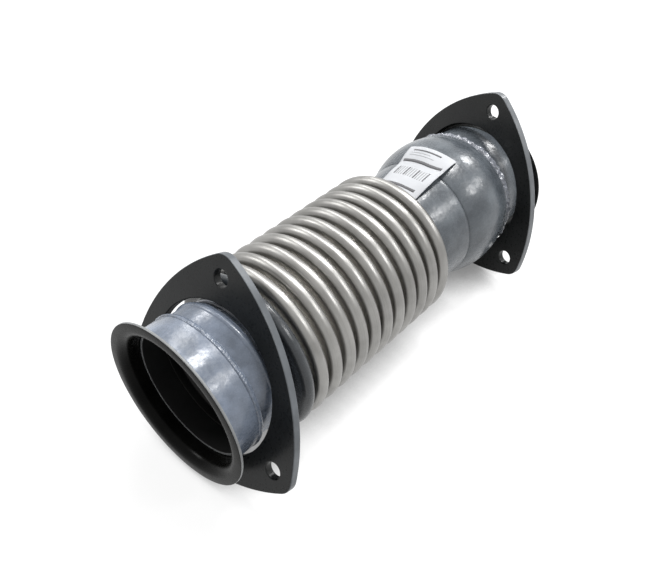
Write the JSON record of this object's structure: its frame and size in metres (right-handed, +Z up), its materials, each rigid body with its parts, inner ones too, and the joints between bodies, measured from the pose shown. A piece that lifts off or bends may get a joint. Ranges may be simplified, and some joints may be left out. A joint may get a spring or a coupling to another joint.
{
  "type": "exhaust flex pipe",
  "caption": "Short flexible exhaust pipe: a steel bellows between a flared collar and a domed adapter, with a loose bolted plate flange behind each flared lip.",
  "frame": {"origin": "On the floor, under the middle of the whole as it lies on its two flanges. The pipe's axis lies 2.4 mm to the +Y side of it.", "axes": "+X runs along the pipe from the near mouth to the far one, +Z is up, and -Y is the side that faces the camera."},
  "size_m": [0.36, 0.1612, 0.1592],
  "materials": {
    "pipe_paint": "satin blue-grey paint over formed steel",
    "flange_paint": "near-black satin paint on thick plate",
    "bellows_steel": "bare stainless steel, softly polished",
    "liner_steel": "bare stainless sheet",
    "weld_bead": "rippled weld bead under thin paint"
  },
  "bodies": {
    "near_end": {"near_collar": "pipe_paint", "near_weld": "weld_bead", "near_tube": "pipe_paint", "near_skirt_weld": "weld_bead", "bellows": "bellows_steel", "flow_liner": "liner_steel"},
    "far_end": {"far_skirt_weld": "weld_bead", "far_cuff": "pipe_paint", "seam_weld": "weld_bead", "far_dome": "pipe_paint", "far_weld": "weld_bead", "far_collar": "pipe_paint"},
    "near_flange": {"near_flange": "flange_paint"},
    "far_flange": {"far_flange": "flange_paint"}
  },
  "joints": [
    {"name": "flex", "type": "hinge", "parent": "near_end", "child": "far_end", "pos_m": [-0.0377, 0.00237, 0.06809], "axis": [0, 1, 0], "range_deg": [-5, 5], "stiffness_Nm_per_rad": 200, "deforming": ["bellows"]},
    {"name": "near_flange_turn", "type": "hinge", "parent": "near_end", "child": "near_flange", "pos_m": [-0.146, 0.00237, 0.06689], "axis": [0.9397, 0, -0.342], "continuous": true},
    {"name": "far_flange_turn", "type": "hinge", "parent": "far_end", "child": "far_flange", "pos_m": [0.15928, -0.00163, 0.06982], "axis": [0.9743, -0.1894, -0.1219], "continuous": true}
  ]
}
